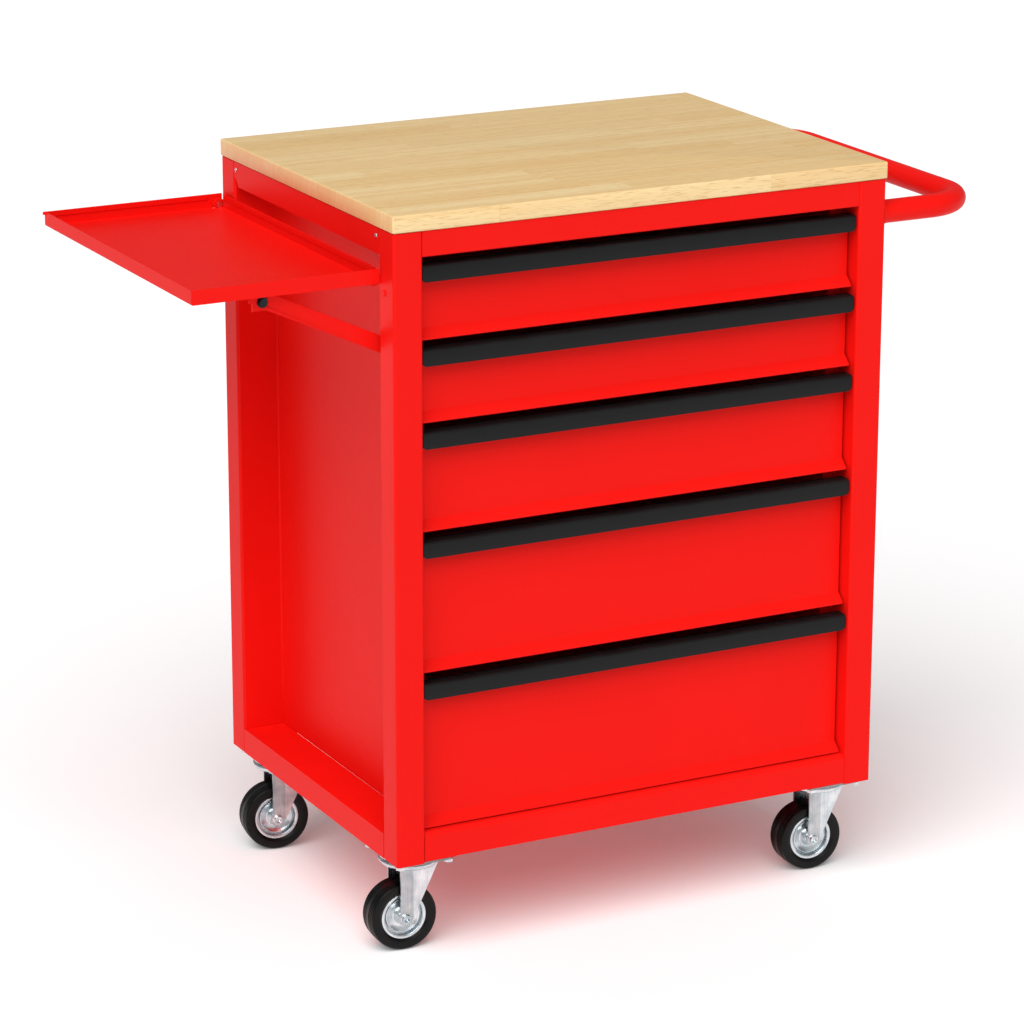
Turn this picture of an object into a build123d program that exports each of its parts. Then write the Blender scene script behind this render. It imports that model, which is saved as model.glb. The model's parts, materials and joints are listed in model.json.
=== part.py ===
from build123d import *
import math
import os

os.makedirs("parts", exist_ok=True)

# ---- overall sizes (millimetres) ----
body_width = 620.0
body_depth = 458.0
total_height = 863.0
worktop_thickness = 20.0
worktop_overhang = 1.0
frame_bottom = 118.0
tray_reach = 221.0
tray_ear = 2.4
handle_reach = 132.0
handle_tube_d = 27.0

# ---- sheet metal ----
frame_sheet = 1.5
tray_sheet = 1.2
drawer_sheet = 1.0

# ---- datums ----
left_reach = tray_reach + tray_ear
right_reach = handle_reach + handle_tube_d / 2
body_left = left_reach - (left_reach + body_width + right_reach) / 2
body_right = body_left + body_width
body_front = -body_depth / 2
body_rear = body_depth / 2
body_mid = (body_left + body_right) / 2
frame_top = total_height - worktop_thickness

# ---- corner posts ----
post_width = 35.0
post_depth = 36.0
post_edge_r = 3.0

# ---- rails ----
rail_height = 28.5
rail_setback = 0.8
front_rail_bottom = 120.0
front_rail_edge = 150.0
front_rail_top = 154.5
ledge_height = 148.0
recess_depth = 51.0
foot_plate_width = 78.0
foot_side_inset = 6.0
foot_end_inset = 9.0
foot_plate_sheet = 2.0

# ---- drawers: height of the grip's lower edge, and of the lip's lower edge ----
grip_bottoms = [785.0, 691.2, 598.0, 473.5, 309.2]
lip_tips = [720.0, 627.0, 503.2, 340.0, 156.0]
face_setback = 20.0
lip_flare = 10.0
lip_height = 11.5
grip_setback = 4.0
grip_height = 18.8
grip_wall = 2.5
grip_gap = 1.5
front_gap = 2.5
drawer_depth = 400.0
runner_width = 12.5
runner_height = 32.0
runner_length = 418.0
runner_play = 0.5
box_gap = 1.0

# ---- side tray, its lugs and its struts ----
tray_gap = 2.0
tray_front = body_front + 31.2
tray_rear = body_rear - 2.5
tray_top = 799.5
tray_bottom = 783.0
hinge_x = body_left - 7.0
hinge_z = tray_bottom + 4.5
pin_r = 2.5
pin_play = 0.06
lug_sheet = 3.0
lug_offset = 1.5
strut_width = 18.0
strut_sheet = 3.0
strut_offset = 8.0
strut_pivot_x = body_left + 26.0
strut_pivot_z = 702.2
strut_bolt_x = body_left - 134.0
strut_bolt_z = 774.5
strut_angle = 25.2
strut_bolt_r = 3.0
pivot_r = 4.0

# ---- casters ----
caster_side_inset = 41.0
caster_end_inset = 55.0
caster_turns = [4.0, 3.0, 8.0, 6.0]
caster_trail = 12.0
wheel_r = 40.0
wheel_width = 32.0
rim_r = 27.0
axle_r = 4.0
plate_length = 92.0
plate_width = 70.0
plate_sheet = 2.5
kingpin_r = 5.0
bearing_play = 0.05

side_signs = [-1, 1]
corners = [("front_left", -1, -1), ("front_right", 1, -1), ("rear_left", -1, 1), ("rear_right", 1, 1)]


def side_x(side, inset):
    """X of a line lying inset from the left (-1) or right (+1) outer face."""
    return body_mid + side * (body_width / 2 - inset)


def end_y(end, inset):
    """Y of a line lying inset from the front (-1) or rear (+1) outer face."""
    return end * (body_depth / 2 - inset)


def add_box(x_pair, y_pair, z_pair, mode=Mode.ADD):
    """Plain block between two limits on each axis, added to the open part."""
    pairs = (x_pair, y_pair, z_pair)
    centre = tuple((low + high) / 2 for low, high in pairs)
    length, width, height = (abs(high - low) for low, high in pairs)
    with Locations(centre):
        Box(length, width, height, mode=mode)


# ---- corner posts: rounded square tube ----
for corner, side, end in corners:
    post_x = side_x(side, post_width / 2)
    post_y = end_y(end, post_depth / 2)
    with BuildPart() as post:
        with BuildSketch(Plane.XY.offset(frame_bottom)):
            with Locations((post_x, post_y)):
                RectangleRounded(post_width, post_depth, post_edge_r)
                inner_w = post_width - 2 * frame_sheet
                inner_d = post_depth - 2 * frame_sheet
                RectangleRounded(inner_w, inner_d, post_edge_r - frame_sheet, mode=Mode.SUBTRACT)
        extrude(amount=frame_top - frame_bottom)
    post.part.label = "post_" + corner
    export_step(post.part, "parts/post_" + corner + ".step")

# ---- top front rail: channel with its flanges turned back ----
span_left = side_x(-1, post_width)
span_right = side_x(1, post_width)
rail_front = body_front + rail_setback
rail_bottom = frame_top - rail_height
top_flange = 33.0
bottom_flange = 17.0
with BuildPart() as top_rail_front:
    with BuildSketch(Plane.YZ.offset(span_left)):
        with BuildLine():
            Polyline(
                (rail_front, frame_top),
                (rail_front, rail_bottom),
                (rail_front + bottom_flange, rail_bottom),
                (rail_front + bottom_flange, rail_bottom + frame_sheet),
                (rail_front + frame_sheet, rail_bottom + frame_sheet),
                (rail_front + frame_sheet, frame_top - frame_sheet),
                (rail_front + top_flange, frame_top - frame_sheet),
                (rail_front + top_flange, frame_top),
                close=True,
            )
        make_face()
    extrude(amount=span_right - span_left)
    outer_edges = top_rail_front.edges().filter_by(Axis.X).group_by(Axis.Y)[0]
    fillet(outer_edges.sort_by(Axis.Z)[0], 1.2)
top_rail_front.part.label = "top_rail_front"
export_step(top_rail_front.part, "parts/top_rail_front.step")

# ---- bottom front rail: channel whose top edge leans back ----
base_flange = 24.0
with BuildPart() as base_rail_front:
    with BuildSketch(Plane.YZ.offset(span_left)):
        with BuildLine():
            Polyline(
                (rail_front, front_rail_bottom),
                (rail_front, front_rail_edge),
                (rail_front + 4.0, front_rail_top),
                (rail_front + base_flange, front_rail_top),
                (rail_front + base_flange, front_rail_top - frame_sheet),
                (rail_front + 4.0 + frame_sheet / 2, front_rail_top - frame_sheet),
                (rail_front + frame_sheet, front_rail_edge - frame_sheet / 3),
                (rail_front + frame_sheet, front_rail_bottom + frame_sheet),
                (rail_front + base_flange, front_rail_bottom + frame_sheet),
                (rail_front + base_flange, front_rail_bottom),
                close=True,
            )
        make_face()
    extrude(amount=span_right - span_left)
    outer_edges = base_rail_front.edges().filter_by(Axis.X).group_by(Axis.Y)[0]
    fillet(outer_edges.sort_by(Axis.Z)[0], 1.2)
base_rail_front.part.label = "base_rail_front"
export_step(base_rail_front.part, "parts/base_rail_front.step")

# ---- side rails: a top angle with a rounded rear notch, and a base box with its ledge ----
gap_front = end_y(-1, post_depth)
gap_rear = end_y(1, post_depth)
notch_r = 10.0
for side_name, side in (("left", -1), ("right", 1)):
    face_x = side_x(side, 0)
    inner_x = side_x(side, frame_sheet)
    panel_x = side_x(side, recess_depth + frame_sheet)
    with BuildPart() as top_rail:
        add_box((face_x, inner_x), (gap_front, gap_rear), (rail_bottom, frame_top))
        add_box((face_x, panel_x), (gap_front, gap_rear), (frame_top - frame_sheet, frame_top))
        with BuildSketch(Plane.YZ.offset(min(face_x, inner_x))):
            with Locations((gap_rear, rail_bottom)):
                Circle(notch_r)
        extrude(amount=frame_sheet, mode=Mode.SUBTRACT)
    top_rail.part.label = "top_rail_" + side_name
    export_step(top_rail.part, "parts/top_rail_" + side_name + ".step")

    ledge_x = side_x(side, recess_depth)
    web_x = side_x(side, recess_depth - frame_sheet)
    foot_x = side_x(side, foot_side_inset)
    plate_x = side_x(side, foot_plate_width)
    foot_front = end_y(-1, foot_end_inset)
    foot_rear = end_y(1, foot_end_inset)
    plate_bottom = frame_bottom - foot_plate_sheet
    with BuildPart() as base_rail:
        add_box((foot_x, plate_x), (foot_front, foot_rear), (plate_bottom, frame_bottom))
        add_box((face_x, inner_x), (gap_front, gap_rear), (frame_bottom, ledge_height))
        add_box((face_x, web_x), (gap_front, gap_rear), (frame_bottom, frame_bottom + frame_sheet))
        add_box((face_x, ledge_x), (gap_front, gap_rear), (ledge_height - frame_sheet, ledge_height))
        add_box((web_x, ledge_x), (gap_front, gap_rear), (frame_bottom, ledge_height))
        upright = base_rail.edges().filter_by(Axis.Z)
        ends = upright.filter_by_position(Axis.X, foot_x - 0.1, foot_x + 0.1).group_by(Axis.Y)
        fillet(ends[0] + ends[-1], post_edge_r)
    base_rail.part.label = "base_rail_" + side_name
    export_step(base_rail.part, "parts/base_rail_" + side_name + ".step")

# ---- recessed side panels: a flat pan whose front and rear returns line the posts ----
for side_name, side in (("left", -1), ("right", 1)):
    pan_outer = side_x(side, recess_depth)
    pan_inner = side_x(side, recess_depth + frame_sheet)
    lip_x = side_x(side, 2.0)
    pan_top = frame_top - frame_sheet
    with BuildPart() as side_panel:
        add_box((pan_outer, pan_inner), (gap_front, gap_rear), (ledge_height, pan_top))
        for end in side_signs:
            return_y = end_y(end, post_depth)
            return_in = end_y(end, post_depth + frame_sheet)
            add_box((lip_x, pan_inner), (return_y, return_in), (ledge_height, pan_top))
        upright = side_panel.edges().filter_by(Axis.Z)
        fillet(upright.filter_by_position(Axis.X, pan_outer - 0.1, pan_outer + 0.1), 2.0)
    side_panel.part.label = "side_panel_" + side_name
    export_step(side_panel.part, "parts/side_panel_" + side_name + ".step")

# ---- rear panel: flat sheet with a top flange and three stiffening ribs ----
rear_face = body_rear - frame_sheet
rib_width = 26.0
rib_depth = 4.0
rib_end_gap = 55.0
rib_length = span_right - span_left - 2 * rib_end_gap
rib_heights = [290.0, 480.0, 670.0]
with BuildPart() as rear_panel:
    add_box((span_left, span_right), (rear_face, body_rear), (frame_bottom, frame_top))
    add_box((span_left, span_right), (rear_face - 30.0, rear_face), (frame_top - frame_sheet, frame_top))
    with BuildSketch(Plane.XZ.offset(-rear_face)):
        for rib_z in rib_heights:
            with Locations((body_mid, rib_z)):
                SlotOverall(rib_length, rib_width)
    extrude(amount=rib_depth)
    with BuildSketch(Plane.XZ.offset(-body_rear)):
        for rib_z in rib_heights:
            with Locations((body_mid, rib_z)):
                SlotOverall(rib_length - 2 * frame_sheet, rib_width - 2 * frame_sheet)
    extrude(amount=rib_depth, mode=Mode.SUBTRACT)
rear_panel.part.label = "rear_panel"
export_step(rear_panel.part, "parts/rear_panel.step")

# ---- base panel: the cabinet floor ----
floor_left = side_x(-1, recess_depth + frame_sheet)
floor_right = side_x(1, recess_depth + frame_sheet)
floor_front = rail_front + base_flange
with BuildPart() as base_panel:
    floor_z = (front_rail_top - frame_sheet, front_rail_top)
    add_box((floor_left, floor_right), (floor_front, rear_face), floor_z)
base_panel.part.label = "base_panel"
export_step(base_panel.part, "parts/base_panel.step")

# ---- worktop: glued wooden board with eased edges ----
with BuildPart() as worktop:
    add_box(
        (body_left - worktop_overhang, body_right + worktop_overhang),
        (body_front - worktop_overhang, body_rear + worktop_overhang),
        (frame_top, total_height),
    )
    fillet(worktop.edges().filter_by(Axis.Z), 2.0)
    fillet(worktop.edges().group_by(Axis.Z)[-1], 1.5)
    fillet(worktop.edges().group_by(Axis.Z)[0], 1.0)
worktop.part.label = "worktop"
export_step(worktop.part, "parts/worktop.step")

# ---- drawers ----
box_left = side_x(-1, recess_depth + frame_sheet + runner_width + box_gap)
box_right = side_x(1, recess_depth + frame_sheet + runner_width + box_gap)
face_y = body_front + face_setback
grip_length = span_right - span_left - 2 * grip_gap
front_length = span_right - span_left - 2 * front_gap
box_front = face_y + tray_sheet
box_back = box_front + drawer_depth
slide_height = runner_height - 2 * frame_sheet - 2 * runner_play
runner_centres = []
for number, (grip_z, tip_z) in enumerate(zip(grip_bottoms, lip_tips), start=1):
    box_bottom = tip_z + 5.0
    box_top = grip_z + 3.0
    runner_z = box_bottom + runner_height / 2 + 4.0
    runner_centres.append(runner_z)

    # folded steel box with a hollow slide along each side and a curled rear edge
    with BuildPart() as drawer_box:
        add_box((box_left, box_right), (box_front, box_back), (box_bottom, box_top))
        inner_l = box_left + drawer_sheet
        inner_r = box_right - drawer_sheet
        inner_f = box_front + drawer_sheet
        inner_b = box_back - drawer_sheet
        cavity_z = (box_bottom + drawer_sheet, box_top)
        add_box((inner_l, inner_r), (inner_f, inner_b), cavity_z, mode=Mode.SUBTRACT)
        hem = 4.0
        for wall_x, side in ((inner_l, 1), (inner_r, -1)):
            add_box((wall_x, wall_x + side * hem), (inner_f, inner_b), (box_top - drawer_sheet, box_top))
            add_box(
                (wall_x + side * (hem - drawer_sheet), wall_x + side * hem),
                (inner_f, inner_b),
                (box_top - hem, box_top - drawer_sheet),
            )
        for wall_x, side in ((box_left, -1), (box_right, 1)):
            slide_out = wall_x + side * (runner_width + box_gap - frame_sheet - 2 * runner_play)
            slide_z = (runner_z - slide_height / 2, runner_z + slide_height / 2)
            add_box((wall_x, slide_out), (box_front + 8.0, box_back), slide_z)
            core_z = (slide_z[0] + frame_sheet, slide_z[1] - frame_sheet)
            core_x = (wall_x, slide_out - side * frame_sheet)
            add_box(core_x, (box_front + 8.0, box_back), core_z, mode=Mode.SUBTRACT)
    drawer_box.part.label = "drawer_box_" + str(number)
    export_step(drawer_box.part, "parts/drawer_box_" + str(number) + ".step")

    # pressed front: flat face, lower lip flared forward, end flanges turned back
    fold_z = tip_z + lip_height
    face_top = grip_z + grip_height
    tip_y = face_y - lip_flare
    front_left = body_mid - front_length / 2
    front_right = body_mid + front_length / 2
    with BuildPart() as drawer_front:
        with BuildSketch(Plane.YZ.offset(front_left)):
            with BuildLine():
                Polyline(
                    (face_y, face_top),
                    (face_y, fold_z),
                    (tip_y, tip_z + 2.0),
                    (tip_y, tip_z),
                    (tip_y + tray_sheet, tip_z),
                    (face_y + tray_sheet, fold_z - tray_sheet),
                    (face_y + tray_sheet, face_top),
                    close=True,
                )
            make_face()
        extrude(amount=front_length)
        for edge_x, side in ((front_left, 1), (front_right, -1)):
            add_box(
                (edge_x, edge_x + side * tray_sheet),
                (face_y, face_y + 12.0),
                (fold_z, face_top),
            )
    drawer_front.part.label = "drawer_front_" + str(number)
    export_step(drawer_front.part, "parts/drawer_front_" + str(number) + ".step")

    # grip strip: moulded channel open below, with bevelled ends
    grip_y = body_front + grip_setback
    grip_left = body_mid - grip_length / 2
    with BuildPart() as drawer_grip:
        with BuildSketch(Plane.YZ.offset(grip_left)):
            with BuildLine():
                Polyline(
                    (grip_y, grip_z),
                    (grip_y, grip_z + grip_height - 1.5),
                    (grip_y + 1.5, grip_z + grip_height),
                    (face_y, grip_z + grip_height),
                    (face_y, grip_z + grip_height - 9.0),
                    (face_y - grip_wall, grip_z + grip_height - 9.0),
                    (face_y - grip_wall, grip_z + grip_height - grip_wall),
                    (grip_y + grip_wall, grip_z + grip_height - grip_wall),
                    (grip_y + grip_wall, grip_z),
                    close=True,
                )
            make_face()
        extrude(amount=grip_length)
        # end caps close the channel
        for cap_x, side in ((grip_left, 1), (grip_left + grip_length, -1)):
            add_box(
                (cap_x, cap_x + side * grip_wall),
                (grip_y, face_y),
                (grip_z, grip_z + grip_height - 1.5),
            )
        corner_edges = drawer_grip.edges().filter_by(Axis.Z).group_by(Axis.Y)[0]
        chamfer(corner_edges, 2.0)
    drawer_grip.part.label = "drawer_grip_" + str(number)
    export_step(drawer_grip.part, "parts/drawer_grip_" + str(number) + ".step")

# ---- fixed runner channels, five on each side panel ----
runner_front = box_front + 4.0
for side_name, side in (("left", -1), ("right", 1)):
    web_out = side_x(side, recess_depth + frame_sheet)
    web_in = side_x(side, recess_depth + 2 * frame_sheet)
    lip_in = side_x(side, recess_depth + frame_sheet + runner_width - 1.0)
    with BuildPart() as runners:
        for runner_z in runner_centres:
            low = runner_z - runner_height / 2
            high = runner_z + runner_height / 2
            y_pair = (runner_front, runner_front + runner_length)
            add_box((web_out, web_in), y_pair, (low, high))
            add_box((web_out, lip_in), y_pair, (low, low + frame_sheet))
            add_box((web_out, lip_in), y_pair, (high - frame_sheet, high))
    runners.part.label = "runners_" + side_name
    export_step(runners.part, "parts/runners_" + side_name + ".step")

# ---- push handle: bent tube between the two right-hand posts ----
handle_z = 801.0
handle_bend = 60.0
handle_wall = 1.5
leg_inset = 18.0
leg_front = body_front + leg_inset
leg_rear = body_rear - leg_inset
bar_x = body_right + handle_reach
handle_plane = Plane.XY.offset(handle_z)
with BuildPart() as push_handle:
    with BuildLine(handle_plane) as handle_path:
        leg_one = Line((body_right, leg_front), (bar_x - handle_bend, leg_front))
        bend_one = TangentArc(leg_one @ 1, (bar_x, leg_front + handle_bend), tangent=leg_one % 1)
        grip_bar = Line(bend_one @ 1, (bar_x, leg_rear - handle_bend))
        bend_two = TangentArc(grip_bar @ 1, (bar_x - handle_bend, leg_rear), tangent=grip_bar % 1)
        Line(bend_two @ 1, (body_right, leg_rear))
    with BuildSketch(Plane(origin=(body_right, leg_front, handle_z), z_dir=(1, 0, 0))):
        Circle(handle_tube_d / 2)
        Circle(handle_tube_d / 2 - handle_wall, mode=Mode.SUBTRACT)
    sweep()
push_handle.part.label = "push_handle"
export_step(push_handle.part, "parts/push_handle.step")

# ---- handle flanges: round plates welded where the tube meets the posts ----
flange_r = handle_tube_d / 2 + 3.5
flange_sheet = 3.0
with BuildPart() as handle_flanges:
    for leg_y in (leg_front, leg_rear):
        with BuildSketch(Plane(origin=(body_right, leg_y, handle_z), z_dir=(1, 0, 0))):
            Circle(flange_r)
            Circle(handle_tube_d / 2, mode=Mode.SUBTRACT)
        extrude(amount=flange_sheet)
    outer_face_rims = handle_flanges.edges().group_by(Axis.X)[-1].filter_by(GeomType.CIRCLE)
    fillet(outer_face_rims.group_by(SortBy.RADIUS)[-1], 1.0)
handle_flanges.part.label = "handle_flanges"
export_step(handle_flanges.part, "parts/handle_flanges.step")

# ---- painted rivets on the left posts, screws in the side rails ----
rivet_r = 3.6
rivet_height = 1.6
rivet_z = 774.0
rivet_inset = 23.0
with BuildPart() as post_rivets:
    for end in side_signs:
        with BuildSketch(Plane(origin=(body_left, end_y(end, rivet_inset), rivet_z), z_dir=(-1, 0, 0))):
            Circle(rivet_r)
        extrude(amount=rivet_height)
    fillet(post_rivets.edges().group_by(Axis.X)[0], 1.2)
post_rivets.part.label = "post_rivets"
export_step(post_rivets.part, "parts/post_rivets.step")

screw_r = 2.6
screw_height = 1.4
screw_z = frame_top - 9.0
screw_inset = post_depth + 6.0
with BuildPart() as rail_screws:
    for side in side_signs:
        for end in side_signs:
            screw_origin = (side_x(side, 0), end_y(end, screw_inset), screw_z)
            with BuildSketch(Plane(origin=screw_origin, z_dir=(side, 0, 0))):
                Circle(screw_r)
            extrude(amount=screw_height)
    outer_rims = rail_screws.edges().group_by(Axis.X)
    fillet(outer_rims[0] + outer_rims[-1], 0.9)
rail_screws.part.label = "rail_screws"
export_step(rail_screws.part, "parts/rail_screws.step")

# ---- hinge lugs: plates standing out from the left posts through the tray's corner slots ----
lug_r = 7.0
lug_neck = 5.0
lug_starts = [tray_front + lug_offset, tray_rear - lug_offset - lug_sheet]
with BuildPart() as hinge_lugs:
    for lug_y in lug_starts:
        with BuildSketch(Plane.XZ.offset(-lug_y - lug_sheet)):
            with Locations((hinge_x, hinge_z)):
                Circle(lug_r)
            with Locations(((hinge_x + body_left) / 2, hinge_z)):
                Rectangle(body_left - hinge_x, 2 * lug_neck)
            with Locations((hinge_x, hinge_z)):
                Circle(pin_r + pin_play, mode=Mode.SUBTRACT)
        extrude(amount=lug_sheet)
hinge_lugs.part.label = "hinge_lugs"
export_step(hinge_lugs.part, "parts/hinge_lugs.step")

# ---- side tray: folded sheet pan with open inner corners and two strut flanges below ----
tray_inner = body_left - tray_gap
tray_outer = body_left - tray_reach
slot_depth = 14.0
slot_width = 5.6
flange_drop = 19.0
flange_width = 20.0
flange_thick = 2.0
strut_front_y = gap_front + strut_offset
strut_rear_y = gap_rear - strut_offset
flange_gap = 0.5
ear_height = 3.5
with BuildPart() as side_tray:
    add_box((tray_outer, tray_inner), (tray_front, tray_rear), (tray_bottom, tray_top))
    long_bends = side_tray.edges().filter_by(Axis.Y).group_by(Axis.Z)[0]
    fillet(long_bends, 2.0)
    add_box(
        (tray_outer + tray_sheet, tray_inner - tray_sheet),
        (tray_front + tray_sheet, tray_rear - tray_sheet),
        (tray_bottom + tray_sheet, tray_top),
        mode=Mode.SUBTRACT,
    )
    # corner slots for the lugs
    slot_x = (tray_inner, tray_inner - slot_depth)
    slot_a = tray_front + tray_sheet
    slot_b = tray_rear - tray_sheet
    add_box(slot_x, (slot_a, slot_a + slot_width), (tray_bottom, tray_top), mode=Mode.SUBTRACT)
    add_box(slot_x, (slot_b - slot_width, slot_b), (tray_bottom, tray_top), mode=Mode.SUBTRACT)
    # small ear of the rear wall past the outer wall
    ear_z = (tray_top - ear_height, tray_top)
    add_box((tray_outer - tray_ear, tray_outer), (tray_rear - tray_sheet, tray_rear), ear_z)
    # strut flanges hanging under the floor
    flange_front = strut_front_y + strut_sheet + flange_gap
    flange_rear = strut_rear_y - strut_sheet - flange_gap
    for far_face in (flange_front + flange_thick, flange_rear):
        with BuildSketch(Plane.XZ.offset(-far_face)):
            with Locations((strut_bolt_x, tray_bottom - flange_drop / 2 + 0.5)):
                Rectangle(flange_width, flange_drop + 1.0)
            with Locations((strut_bolt_x, strut_bolt_z)):
                Circle(strut_bolt_r, mode=Mode.SUBTRACT)
        extrude(amount=flange_thick)
side_tray.part.label = "side_tray"
export_step(side_tray.part, "parts/side_tray.step")

# ---- tray hinge pins: studs on the end walls, running in the lugs ----
pin_head_r = 3.3
pin_head = 1.6
pin_length = lug_offset - tray_sheet + lug_sheet + 0.4
with BuildPart() as tray_hinge_pins:
    for wall_y, inward in ((tray_front + tray_sheet, 1), (tray_rear - tray_sheet, -1)):
        with BuildSketch(Plane(origin=(hinge_x, wall_y, hinge_z), z_dir=(0, inward, 0))):
            Circle(pin_r)
        extrude(amount=pin_length)
        head_origin = (hinge_x, wall_y + inward * pin_length, hinge_z)
        with BuildSketch(Plane(origin=head_origin, z_dir=(0, inward, 0))):
            Circle(pin_head_r)
        extrude(amount=pin_head)
tray_hinge_pins.part.label = "tray_hinge_pins"
export_step(tray_hinge_pins.part, "parts/tray_hinge_pins.step")

# ---- struts: flat bars with an open slot that hooks under the tray bolt ----
beta = math.radians(strut_angle)
along = (-math.cos(beta), math.sin(beta))
strut_end_z = tray_bottom - 0.6
slot_clear = 0.4
bolt_dx = strut_bolt_x - strut_pivot_x
bolt_dz = strut_bolt_z - strut_pivot_z
bolt_along = bolt_dx * along[0] + bolt_dz * along[1]
bolt_across = -bolt_dx * along[1] + bolt_dz * along[0]
slot_lean = 26.0
with BuildPart() as tray_struts:
    for strut_y in (strut_front_y, strut_rear_y - strut_sheet):
        bar_plane = Plane(
            origin=(strut_pivot_x, strut_y, strut_pivot_z),
            x_dir=(along[0], 0, along[1]),
            z_dir=(0, 1, 0),
        )
        with BuildSketch(bar_plane):
            Circle(strut_width / 2)
            with Locations((95.0, 0)):
                Rectangle(190.0, strut_width)
            Circle(pivot_r + bearing_play, mode=Mode.SUBTRACT)
        extrude(amount=strut_sheet)
        # level end just clear of the tray floor
        add_box(
            (strut_pivot_x - 260.0, strut_pivot_x),
            (strut_y - 1.0, strut_y + strut_sheet + 1.0),
            (strut_end_z, strut_end_z + 60.0),
            mode=Mode.SUBTRACT,
        )
        # open slot, leaning back towards the cabinet
        slot_plane = Plane(
            origin=(strut_bolt_x, strut_y, strut_bolt_z),
            x_dir=(math.cos(math.radians(90 - slot_lean)), 0, math.sin(math.radians(90 - slot_lean))),
            z_dir=(0, 1, 0),
        )
        with BuildSketch(slot_plane):
            Circle(strut_bolt_r + slot_clear)
            with Locations((15.0, 0)):
                Rectangle(30.0, 2 * (strut_bolt_r + slot_clear))
        extrude(amount=strut_sheet, mode=Mode.SUBTRACT)
tray_struts.part.label = "tray_struts"
export_step(tray_struts.part, "parts/tray_struts.step")

# ---- tray bolts: one through each strut flange, with a washer outside the strut ----
head_r = 4.6
head_height = 3.0
washer_r = 6.2
washer_thick = 1.0
side_play = 0.2
with BuildPart() as tray_bolts:
    for strut_face, inward in ((strut_front_y, 1), (strut_rear_y, -1)):
        washer_y = strut_face - inward * (side_play + washer_thick)
        bolt_end = strut_face + inward * (strut_sheet + flange_gap + flange_thick + 1.0)
        for start_y, stop_y, radius in (
            (washer_y - inward * head_height, washer_y, head_r),
            (washer_y, washer_y + inward * washer_thick, washer_r),
            (washer_y, bolt_end, strut_bolt_r),
        ):
            with BuildSketch(Plane(origin=(strut_bolt_x, start_y, strut_bolt_z), z_dir=(0, inward, 0))):
                Circle(radius)
            extrude(amount=abs(stop_y - start_y))
        nut_plane = Plane(origin=(strut_bolt_x, bolt_end, strut_bolt_z), z_dir=(0, inward, 0))
        with BuildSketch(nut_plane.offset(-1.0)):
            RegularPolygon(5.0, 6)
        extrude(amount=3.5)
tray_bolts.part.label = "tray_bolts"
export_step(tray_bolts.part, "parts/tray_bolts.step")

# ---- strut pivots: shouldered studs on the side panel returns ----
collar_r = 8.0
pivot_head_r = 7.0
pivot_head = 2.5
with BuildPart() as strut_pivots:
    for strut_face, return_face, inward in (
        (strut_front_y, gap_front + frame_sheet, 1),
        (strut_rear_y, gap_rear - frame_sheet, -1),
    ):
        shoulder = abs(strut_face - return_face) - side_play
        shank_end = strut_face + inward * (strut_sheet + side_play)
        for start_y, length, radius in (
            (return_face, shoulder, collar_r),
            (return_face, abs(shank_end - return_face), pivot_r),
            (shank_end, pivot_head, pivot_head_r),
        ):
            with BuildSketch(Plane(origin=(strut_pivot_x, start_y, strut_pivot_z), z_dir=(0, inward, 0))):
                Circle(radius)
            extrude(amount=length)
strut_pivots.part.label = "strut_pivots"
export_step(strut_pivots.part, "parts/strut_pivots.step")

# ---- caster top plates with race and kingpin ----
plate_top = frame_bottom - foot_plate_sheet
plate_base = plate_top - plate_sheet
race_base = plate_base - 5.0
race_r = 32.0
crown_top = race_base - 0.3
crown_sheet = 2.5
crown_skirt = 5.0
crown_r = 35.5
nut_r = 8.0
pin_bottom = crown_top - crown_sheet - 6.0
caster_sites = [
    (name, side_x(side, caster_side_inset), end_y(end, caster_end_inset))
    for name, side, end in corners
]
plate_hole_length = 80.0
plate_hole_width = 60.0
plate_hole_r = 4.0
with BuildPart() as caster_plates:
    for name, site_x, site_y in caster_sites:
        with BuildSketch(Plane.XY.offset(plate_base)):
            with Locations((site_x, site_y)):
                RectangleRounded(plate_width, plate_length, 8.0)
                with GridLocations(plate_hole_width, plate_hole_length, 2, 2):
                    Circle(plate_hole_r, mode=Mode.SUBTRACT)
        extrude(amount=plate_sheet)
        for low, high, radius in (
            (race_base, plate_base, race_r),
            (pin_bottom, race_base, kingpin_r),
            (pin_bottom, crown_top - crown_sheet - 0.3, nut_r),
        ):
            with BuildSketch(Plane.XY.offset(low)):
                with Locations((site_x, site_y)):
                    Circle(radius)
            extrude(amount=high - low)
caster_plates.part.label = "caster_plates"
export_step(caster_plates.part, "parts/caster_plates.step")

# ---- plate bolts: hexagon heads below, shank up through the foot plate ----
with BuildPart() as plate_bolts:
    for name, site_x, site_y in caster_sites:
        for low, high, radius in (
            (plate_base - 3.5, plate_base, 5.6),
            (plate_base, plate_top, plate_hole_r),
        ):
            with BuildSketch(Plane.XY.offset(low)):
                with Locations((site_x, site_y)):
                    with GridLocations(plate_hole_width, plate_hole_length, 2, 2):
                        if radius > plate_hole_r:
                            RegularPolygon(radius, 6)
                        else:
                            Circle(radius)
            extrude(amount=high - low)
plate_bolts.part.label = "plate_bolts"
export_step(plate_bolts.part, "parts/plate_bolts.step")

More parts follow.
